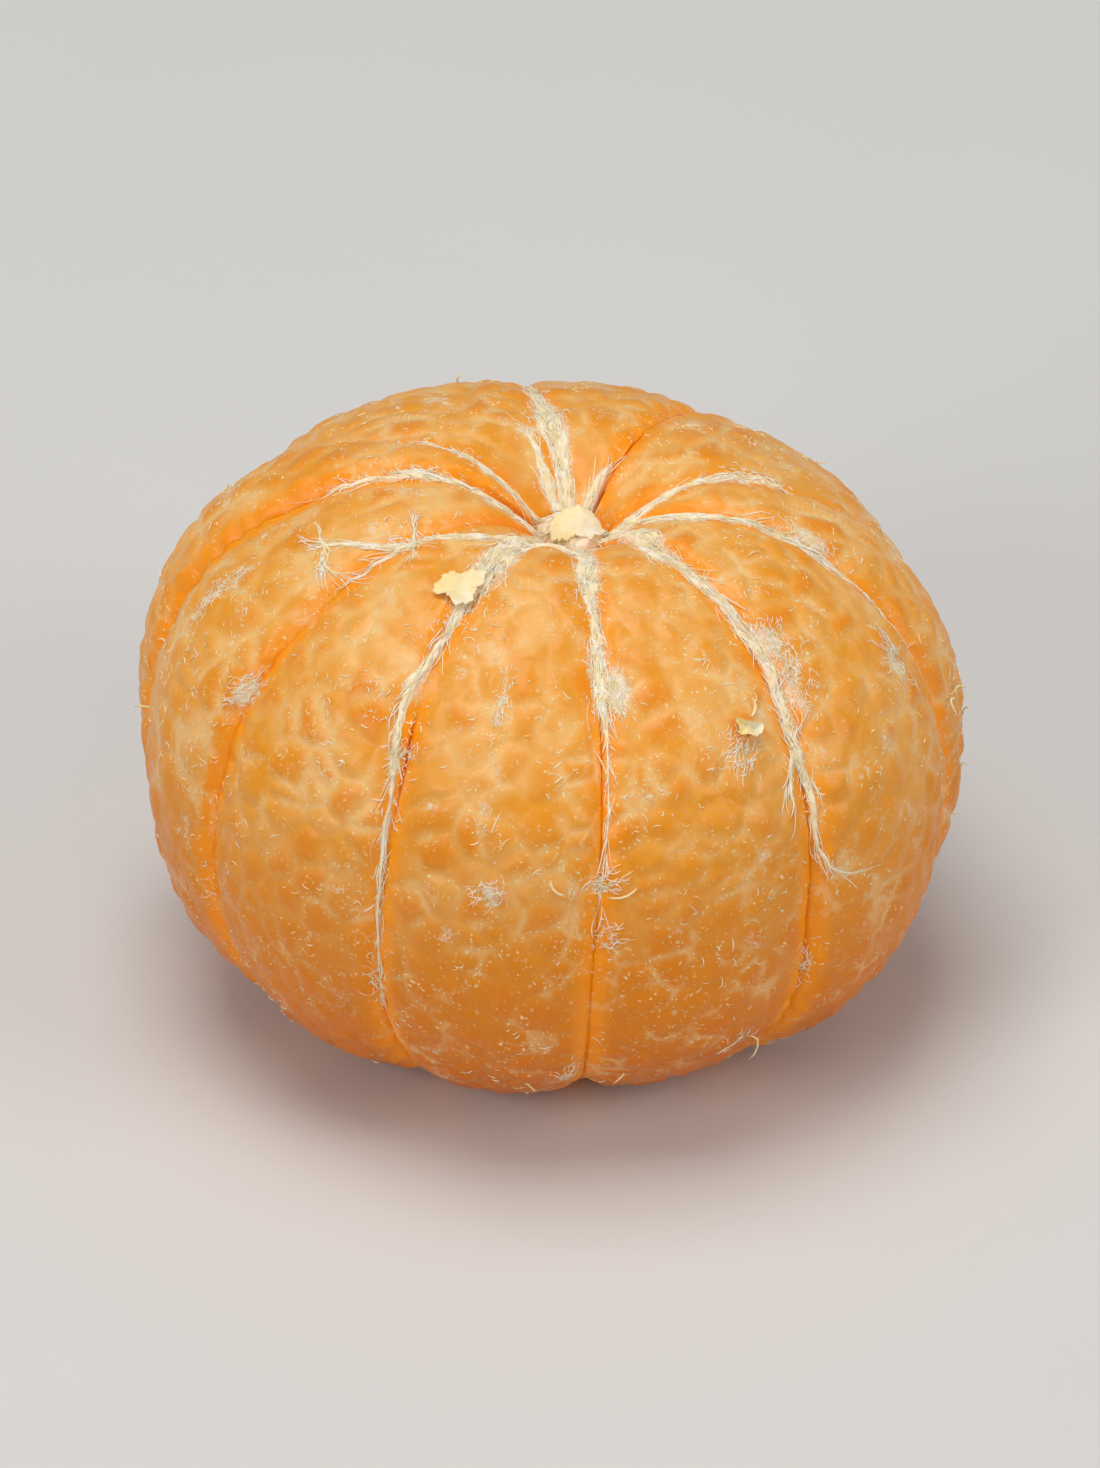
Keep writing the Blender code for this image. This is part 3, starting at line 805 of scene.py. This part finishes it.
def add_tufts(cover, material):
    """Cottony patches of crossing fibres, where the peel was torn off."""
    draw = np.random.default_rng(TUFT_SEED)
    starts, angles = [], []
    for turn, rise, width, height, fibres, lie in TUFTS:
        count = 2 * fibres
        spread = draw.normal(0.0, 1.0, (count, 2)) * (width, height) * MM / RADIUS
        middle, right, up = axes_at(turn, rise)
        starts.append(unit(middle + spread[:, :1] * right + spread[:, 1:] * up))
        angles.append(np.radians(lie) + draw.normal(0.0, 0.45, count) + math.pi * (draw.random(count) < 0.5))
    towards, angle = np.concatenate(starts), np.concatenate(angles)
    lengths = draw.uniform(0.3, 1.1, len(towards)) * MM
    drawn_fibres(
        "cottony_tufts", cover, draw, towards, tangents(towards, angle), lengths, 1.4, 0.03, (0.020, 0.040),
        0.15, (0.0, 0.3), material,
    )


def add_crumbs(cover, material):
    """Short single fibres scattered in loose groups over every segment, most near the top."""
    draw = np.random.default_rng(CRUMB_SEED)
    rise = np.degrees(np.arcsin(draw.uniform(-0.80, 0.93, CRUMB_GROUPS)))
    keep = draw.random(CRUMB_GROUPS) < 0.45 + 0.55 * smoothstep(rise, -30, 40)
    middles = direction(draw.uniform(0, 360, CRUMB_GROUPS), rise)[keep]
    group = np.repeat(np.arange(len(middles)), draw.integers(1, 9, len(middles)))
    count = len(group)
    towards = unit(middles[group] + draw.normal(0.0, CRUMB_SPREAD / RADIUS, (count, 3)))
    lie = draw.normal(math.pi / 2, 0.6, len(middles))[group] + draw.normal(0.0, 0.6, count)
    lengths = draw.gamma(2.6, 0.19, count) * MM
    drawn_fibres(
        "stray_fibres", cover, draw, towards, tangents(towards, lie), lengths, 1.6, 0.02, (0.024, 0.056),
        0.12, (0.1, 1.0), material,
    )


def add_curls(cover, material):
    """The few long fibres that stand clear of the fruit."""
    turn, rise, lie, length, bend, lift, radius = np.array(CURLS, float).T
    towards = direction(turn, rise)
    laid_fibres(
        "loose_curls", cover, towards, tangents(towards, np.radians(lie)), length * MM, bend, lift * MM,
        radius * MM, np.ones(len(turn), bool), np.full(len(turn), 0.9), material,
    )


def add_leaf(name, turn, rise, outline, thickness, curl, yellow, seed, material):
    """A torn leaf of pith: outline gives its radius in millimetres at angles from straight up.

    Its edge stands off the fruit by curl, in millimetres, and its middle lies on it.
    """
    shape = Shape(ball(LEAF_POINTS, LEAF_RINGS))
    polar = np.hypot(shape.points[:, 0], shape.points[:, 1])
    round_it = np.arctan2(shape.points[:, 0], shape.points[:, 1])
    angles, reaches = np.array(outline, float).T
    reach = np.interp(np.degrees(round_it), angles, reaches, period=360)
    rim = np.column_stack((np.cos(round_it), np.sin(round_it), np.full(len(round_it), seed)))
    reach = reach * (1.0 + 0.14 * uneven(rim, 0.25, seed) + 0.14 * uneven(rim, 0.09, seed + 2)) * polar
    right = reach * np.sin(round_it) * MM
    up = reach * np.cos(round_it) * MM
    middle, across, upward = axes_at(turn, rise)
    away = np.linalg.norm(drape(middle[None], np.zeros(1)))
    towards = unit(middle + (across * right[:, None] + upward * up[:, None]) / away)
    flat = np.column_stack((right, up, np.zeros(len(up))))
    crumple = 0.20 * uneven(flat, 0.8 * MM, seed + 1) + 0.10 * uneven(flat, 0.3 * MM, seed + 3)
    level = np.maximum(curl * polar**3 + crumple + 0.12, 0.0) + thickness * shape.points[:, 2]
    placed = drape(towards, level * MM)
    shape.note("along", up / MM)
    shape.note("across", right / MM)
    shape.note("yellow", np.clip(0.55 - 0.3 * right / MM, 0.1, 1.0) * yellow)
    shape.finish(name, centred(bent_over(placed)), material, "pith")


def add_core(material):
    """The pith's core, from its torn dome in the hollow on top to its stub underneath."""
    shape = Shape(ball(CORE_RINGS, CORE_RINGS))
    towards = shape.points
    radius = np.array((CAP_WIDTH, CAP_WIDTH, CAP_HEIGHT))
    lump = 1.0 + sum(stand * uneven(towards, size, seed) for stand, size, seed in CORE_LUMPS)
    placed = towards * radius * lump[:, None]
    height = placed[:, 2] / CAP_HEIGHT
    top = CAP_MIDDLE + CAP_HEIGHT * np.minimum(height, 0.82 + 0.1 * height)
    placed[:, 2] = np.where(height > 0, top, CAP_MIDDLE + (CAP_MIDDLE - STUB_END) * height)
    shape.note("along", np.degrees(np.arctan2(towards[:, 1], towards[:, 0])) / 40)
    shape.note("across", towards[:, 2] * 1.5)
    shape.finish("core", centred(bent_over(placed)), material, "pith")


def add_bottom_threads(material):
    """Short threads that run out from the core's stub, in the hollow underneath."""
    for number, ((turn, _, _), end) in enumerate(zip(SEGMENTS, BOTTOM_THREAD_ENDS)):
        sizes = ((-87, 0.50, 0.5), (-81, 0.48, 0.5), ((end - 81) / 2, 0.42, 0.4), (end, 0.2, 0.3))
        points = [(turn, *size) for size in sizes]
        laid_thread(f"bottom_thread_{number + 1}", points, BOTTOM_THREAD_SEED + 4 * number, material)


def segment_shape(index):
    """A sphere whose poles lie on the two side walls, blown out until it fills the wedge."""
    rings = spread_table()
    shape = Shape(ball(SLICES, len(rings) - 1))
    middle = TURNS[index] + WIDTHS[index] / 2
    out = np.array((math.sin(middle), -math.cos(middle), 0.0))
    up = np.array((0.0, 0.0, 1.0))
    heart = out * HEART * RADIUS
    ring, around = shape.rings(len(rings) - 1)
    spread, step = rings[ring].T
    slice_number = np.rint((around / math.tau) * SLICES).astype(int) % SLICES
    part = np.arange(SLICES) / SLICES
    part = np.where(part > 0.5, part - 1.0, part) * 2
    angles = np.copysign(slice_angles(np.abs(part)), part)
    in_plane = out * np.cos(angles)[:, None] + up * np.sin(angles)[:, None]

    def distance(points):
        return membrane_distance(points, index)

    rim = meet(heart, in_plane, 2 * RADIUS, distance)[slice_number]
    in_plane = in_plane[slice_number]
    turn = spread * WIDTHS[index] / 2

    def turned(points):
        x = points[..., 0] * np.cos(turn) - points[..., 1] * np.sin(turn)
        y = points[..., 0] * np.sin(turn) + points[..., 1] * np.cos(turn)
        return np.column_stack((x, y, points[..., 2]))

    side = turned(np.tile(heart, (len(rim), 1)))
    target = side + (turned(rim) - side) * step[:, None]
    aim = target - heart
    still = np.linalg.norm(aim, axis=1) < 1e-7
    aim[still] = in_plane[still]
    shape.plain = meet(heart, unit(aim), 2 * RADIUS, distance)
    shape.on_rim = (np.abs(spread) == 1.0) & (step == 1.0)
    return shape


def groove_nearness(points, index):
    """1 in the grooves beside a segment, falling to 0 on its crown, by distance along the skin."""
    around, rise, turn = round_angles(points)
    past_start, before_end = from_grooves(index, rise, turn)
    away = around * np.sin(np.minimum(np.abs(past_start), np.abs(before_end)))
    return 1.0 - smoothstep(away, *GROOVE_REACH)


def film_strength(points, cover):
    """How much white film lies on the membrane: beside the threads, and in patches."""
    towards = unit(points)
    film = cover.film_at(towards) * 0.85
    for turn, rise, length, width, strength in BLOOM:
        middle, round_it, upward = axes_at(turn, rise)
        offset = (towards - middle) * RADIUS
        reach = np.hypot(offset @ round_it / (width * MM), offset @ upward / (length * MM))
        here = (towards @ middle > 0) * strength * (1.0 - smoothstep(reach, 0.2, 1.7))
        film = np.maximum(film, here)
    return film


class Value:
    """A socket of a material's nodes, worked with as a number."""

    def __init__(self, finish, socket):
        self.finish = finish
        self.socket = socket

    def maths(self, operation, *terms, clamp=False):
        sockets = dict(enumerate(terms))
        return self.finish.node("ShaderNodeMath", {"operation": operation, "use_clamp": clamp}, sockets)

    def __add__(self, other):
        return self.maths("ADD", self, other)

    def __radd__(self, other):
        return self.maths("ADD", other, self)

    def __sub__(self, other):
        return self.maths("SUBTRACT", self, other)

    def __rsub__(self, other):
        return self.maths("SUBTRACT", other, self)

    def __mul__(self, other):
        return self.maths("MULTIPLY", self, other)

    def __rmul__(self, other):
        return self.maths("MULTIPLY", other, self)

    def __pow__(self, other):
        return self.maths("POWER", self, other)

    def clamped(self):
        return self.maths("ADD", self, 0.0, clamp=True)

    def between(self, low, high):
        """0 at low and below, 1 at high and above, and smooth between."""
        sockets = {"Value": self, "From Min": low, "From Max": high}
        return self.finish.node("ShaderNodeMapRange", {"interpolation_type": "SMOOTHSTEP"}, sockets)


class Finish:
    """A material, with the nodes that vary it over the surface."""

    def __init__(self, name):
        self.material = bpy.data.materials.new(name)
        self.material.use_nodes = True
        self.tree = self.material.node_tree
        self.shader = self.tree.nodes["Principled BSDF"]
        self.place = self.node("ShaderNodeTexCoord", output="Object")

    def feed(self, socket, value):
        if isinstance(value, Value):
            self.tree.links.new(value.socket, socket)
        elif isinstance(value, tuple) and len(value) == 3 and socket.type == "RGBA":
            socket.default_value = (*value, 1.0)
        else:
            socket.default_value = value

    def node(self, kind, settings=None, sockets=None, output=0):
        made = self.tree.nodes.new(kind)
        for name, value in (settings or {}).items():
            setattr(made, name, value)
        for key, value in (sockets or {}).items():
            self.feed(made.inputs[key], value)
        return Value(self, made.outputs[output])

    def noise(self, size, detail=3.0, vector=None, roughness=0.5):
        """Cloudy noise from 0 to 1 with clouds of about this size in metres."""
        sockets = {"Vector": vector or self.place, "Scale": 1.0 / size}
        return self.node("ShaderNodeTexNoise", {}, {**sockets, "Detail": detail, "Roughness": roughness})

    def vectors(self, operation, sockets):
        return self.node("ShaderNodeVectorMath", {"operation": operation}, sockets)

    def attribute(self, name):
        return self.node("ShaderNodeAttribute", {"attribute_name": name}, output="Fac")

    def blend(self, factor, first, second):
        """One colour over another."""
        settings = {"data_type": "RGBA", "clamp_factor": True}
        return self.node("ShaderNodeMix", settings, {0: factor, 6: first, 7: second}, output=2)

    def shifted(self, amount, size):
        """The place on the piece, pushed about by noise."""
        sockets = {"Vector": self.place, "Scale": 1.0 / size}
        wander = self.node("ShaderNodeTexNoise", {}, sockets, output="Color")
        both_ways = self.vectors("SUBTRACT", {0: wander, 1: (0.5, 0.5, 0.5)})
        scaled = self.vectors("SCALE", {0: both_ways, "Scale": amount})
        return self.vectors("ADD", {0: self.place, 1: scaled})

    def surface(self, **sockets):
        for name, value in sockets.items():
            self.feed(self.shader.inputs[name.replace("_", " ").title().replace("Ior", "IOR")], value)

    def bump(self, height, distance, strength=1.0):
        sockets = {"Height": height, "Distance": distance, "Strength": strength}
        return self.node("ShaderNodeBump", {}, sockets, output="Normal")


def paint(red, green, blue):
    """A colour given as on a screen, 0 to 255, in the linear values that light adds up in."""
    return tuple(((part / 255 + 0.055) / 1.055) ** 2.4 for part in (red, green, blue))


def membrane_finish():
    finish = Finish("moist_membrane")
    wall = finish.attribute("wall")
    tone = finish.attribute("tone")
    groove = finish.attribute("groove")
    film = finish.attribute("film")
    clouds = finish.noise(7 * MM, 3.0)
    patches = finish.noise(3.2 * MM, 4.0)
    grain = finish.noise(0.5 * MM, 4.0, roughness=0.65)
    mottle = finish.noise(1.6 * MM, 2.0)
    height = finish.node("ShaderNodeSeparateXYZ", {}, {0: finish.place}, output="Z")
    top = height.between(10 * MM, 38 * MM)

    walls = 1 - (wall + (grain - 0.5) * 0.5).between(0.05, 0.85)
    # Paler haze: partly random clouds and sac walls, partly painted sheen that grows towards the top, where
    # the overhead light falls
    haze_and_top_sheen = clouds.between(0.40, 0.64) * 0.4 + top * 0.2 + walls * 0.4 * patches.between(0.3, 0.6)
    haze_and_top_sheen = (haze_and_top_sheen + (mottle.between(0.35, 0.65) - 0.5) * 0.15).clamped()
    colour = finish.blend(haze_and_top_sheen * (0.15 + 0.85 * height.between(8 * MM, 34 * MM)), AMBER, HAZE_AND_TOP_SHEEN)
    window = tone.between(0.15, 0.95) * (wall + (grain - 0.5) * 0.7).between(0.0, 0.9)
    colour = finish.blend(window * 0.7, colour, CLEAR)
    # Painted shade: darker, deeper orange towards the bottom of the fruit
    colour = finish.blend((1 - height.between(-2 * MM, 32 * MM)) * 0.9, colour, PAINTED_SHADE_BELOW)
    # Painted light in the grooves: a brighter, deeper orange that stands in for light coming through the
    # flesh where the grooves would be in shade
    colour = finish.blend(groove**3.0 * 0.85, colour, PAINTED_GROOVE_LIGHT)

    veins = (1 - (wall + (grain - 0.5) * 0.5).between(0.02, 0.36)) * patches.between(0.48, 0.66)
    colour = finish.blend(veins * 0.45, colour, VEIN)

    sockets = {"Vector": finish.shifted(1.4 * MM, 2.0 * MM), "Scale": 1.0 / (2.1 * MM)}
    net = finish.node("ShaderNodeTexVoronoi", {"feature": "DISTANCE_TO_EDGE"}, sockets)
    strands = (1 - net.between(0.01, 0.07)) * patches.between(0.54, 0.68) * grain.between(0.3, 0.6)
    colour = finish.blend(strands * 0.45, colour, VEIN)

    # Pale specks: partly flecks of pith, partly painted glints
    wandering = finish.shifted(1.0 * MM, 0.7 * MM)
    sockets = {"Vector": wandering, "Scale": 1.0 / (0.46 * MM)}
    dots = finish.node("ShaderNodeTexVoronoi", {"feature": "F1"}, sockets)
    gathered = 0.2 + 0.8 * patches.between(0.38, 0.58)
    specks_and_glints = (1 - dots.between(0.12, 0.32)) * gathered * grain.between(0.36, 0.52)
    colour = finish.blend(specks_and_glints * 0.85, colour, SPECK_AND_GLINT)

    fibrous = finish.noise(0.22 * MM, 4.0, finish.shifted(0.9 * MM, 0.6 * MM), roughness=0.7)
    smudges = finish.noise(3.4 * MM, 4.0, finish.shifted(2.0 * MM, 2.0 * MM)).between(0.54, 0.74) * 0.62
    film = film + smudges * (1 - film)
    white = (film + (fibrous - 0.5) * 1.7 + (patches - 0.5) * 0.6).between(0.42, 1.0)
    white = white * film.between(0.02, 0.3)
    colour = finish.blend(white * 0.85, colour, WHITE_FILM)

    rough = 0.30 + grain * 0.10 + white * 0.25 + specks_and_glints * 0.2
    relief_height = grain * 0.2 + white * fibrous * 0.5 + strands * 0.4 + specks_and_glints * 0.5
    finish.surface(
        base_color=colour,
        roughness=rough,
        normal=finish.bump(relief_height, 0.12 * MM, 0.7),
        subsurface_weight=0.4,
        subsurface_radius=(1.0, 0.42, 0.12),
        subsurface_scale=0.6 * MM,
        specular_ior_level=0.32,
        coat_weight=0.07,
        coat_roughness=0.16,
        # Painted glow: the grooves give off a faint orange light of their own, standing in for light through
        # the flesh
        emission_color=finish.blend(groove**4.0, (0.0, 0.0, 0.0), PAINTED_GROOVE_LIGHT),
        emission_strength=GROOVE_GLOW,
        ior=MEMBRANE_IOR,
    )
    return finish.material


def pith_finish():
    finish = Finish("white_pith")
    yellow = finish.attribute("yellow")
    along = finish.attribute("along")
    across = finish.attribute("across")
    lie = finish.node("ShaderNodeCombineXYZ", {}, {"X": along * 0.22, "Y": across * 1.6})
    streaks = finish.noise(0.2, 5.0, lie, roughness=0.6)
    cotton = finish.noise(0.3 * MM, 5.0, roughness=0.7)
    clouds = finish.noise(1.8 * MM, 3.0)
    colour = finish.blend(clouds.between(0.35, 0.68), paint(254, 234, 186), paint(252, 244, 226))
    colour = finish.blend(streaks.between(0.52, 0.3) * 0.25, colour, paint(250, 214, 140))
    colour = finish.blend(yellow * 0.6, colour, paint(250, 222, 128))
    finish.surface(
        base_color=colour,
        roughness=0.62 + cotton * 0.2,
        normal=finish.bump(streaks + cotton * 0.8, 0.06 * MM, 0.45),
        sheen_weight=0.3,
        sheen_roughness=0.5,
    )
    return finish.material


def fibre_finish():
    """For fibres so fine that light and dark along them are all that shows."""
    finish = Finish("fine_fibre")
    yellow = finish.attribute("yellow")
    clouds = finish.noise(0.8 * MM, 3.0)
    colour = finish.blend(clouds.between(0.35, 0.65), paint(254, 236, 192), paint(255, 250, 238))
    colour = finish.blend(yellow * 0.7, colour, paint(253, 226, 138))
    finish.surface(base_color=colour, roughness=0.55 + clouds * 0.2, sheen_weight=0.3, sheen_roughness=0.4)
    return finish.material


def floor_finish():
    finish = Finish("pale_floor")
    mottle = finish.noise(60 * MM, 4.0)
    colour = finish.blend(mottle, (0.70, 0.69, 0.67), (0.73, 0.72, 0.70))
    finish.surface(base_color=colour, roughness=0.55 + mottle * 0.1)
    return finish.material


def add_floor():
    bm = bmesh.new()
    bmesh.ops.create_grid(bm, x_segments=2, y_segments=2, size=FLOOR_HALF)
    mesh = bpy.data.meshes.new("floor")
    bm.to_mesh(mesh)
    bm.free()
    mesh.materials.append(floor_finish())
    floor = place("floor", mesh)


def add_camera(middle, width):
    camera = bpy.data.cameras.new("camera")
    camera.sensor_width = FILM_HEIGHT
    focal_pixels = FRUIT_SHARE * PICTURE[0] * VIEW_DISTANCE / width
    camera.lens = focal_pixels / PICTURE[1] * FILM_HEIGHT
    camera.clip_start = 0.05
    rise = math.radians(VIEW_RISE)
    back = Vector((0.0, -math.cos(rise), math.sin(rise)))
    holder = place("camera", camera)
    holder.location = middle + back * VIEW_DISTANCE
    holder.rotation_euler = back.to_track_quat("Z", "Y").to_euler()
    bpy.context.scene.camera = holder


def add_lights():
    world = bpy.data.worlds.new("studio")
    world.use_nodes = True
    world.node_tree.nodes["Background"].inputs["Color"].default_value = (0.92, 0.95, 1.0, 1.0)
    world.node_tree.nodes["Background"].inputs["Strength"].default_value = ROOM_LIGHT
    bpy.context.scene.world = world
    bpy.context.scene.view_settings.view_transform = "Standard"
    for name, spot, size, power, colour in LIGHTS:
        light = bpy.data.lights.new(name, "AREA")
        light.shape = "RECTANGLE"
        light.size, light.size_y = size
        light.energy = power
        light.color = colour
        holder = place(name, light)
        holder.location = spot
        holder.rotation_euler = (Vector(spot) - Vector(LIT_PLACE)).to_track_quat("Z", "Y").to_euler()


shapes = [segment_shape(index) for index in range(GROOVES)]
swollen = [shape.plain + unit(shape.plain) * slow_swell(unit(shape.plain))[:, None] for shape in shapes]
reached = bent_over(np.concatenate(swollen))
SHIFT = -(reached.min(axis=0) + reached.max(axis=0)) / 2
SHIFT[2] = 0.0


def centred(points):
    """Moves points sideways, so that the origin is under the middle of the fruit."""
    return points + SHIFT


membrane = membrane_finish()
pith = pith_finish()
fibre = fibre_finish()

thread_stations = []
for number, (name, points) in enumerate(THREADS.items()):
    replaced = ("pith",) if number == 0 else ()
    thread_stations.append(laid_thread(name, points, THREAD_SEED + 3 * number, pith, replaced))
cover = Cover(np.concatenate(thread_stations))

for index, shape in enumerate(shapes):
    stand, wall, tone = relief(shape.plain)
    points = shape.plain + unit(shape.plain) * stand[:, None]
    shape.note("wall", wall / MM)
    shape.note("tone", tone)
    shape.note("groove", groove_nearness(points, index))
    shape.note("film", film_strength(points, cover))
    node = f"segment_{index + 1:02d}"
    shape.finish(f"{node}_skin", centred(bent_over(points)), membrane, "membrane", (node,))

add_core(pith)
add_bottom_threads(pith)
add_thread_hairs(thread_stations, cover, fibre)
add_tufts(cover, fibre)
add_crumbs(cover, fibre)
add_curls(cover, fibre)
for leaf in LEAVES:
    add_leaf(*leaf, pith)

add_floor()
add_lights()
add_camera(Vector((0.0, 0.0, MIDDLE_HEIGHT)), cad_box[1].x - cad_box[0].x)
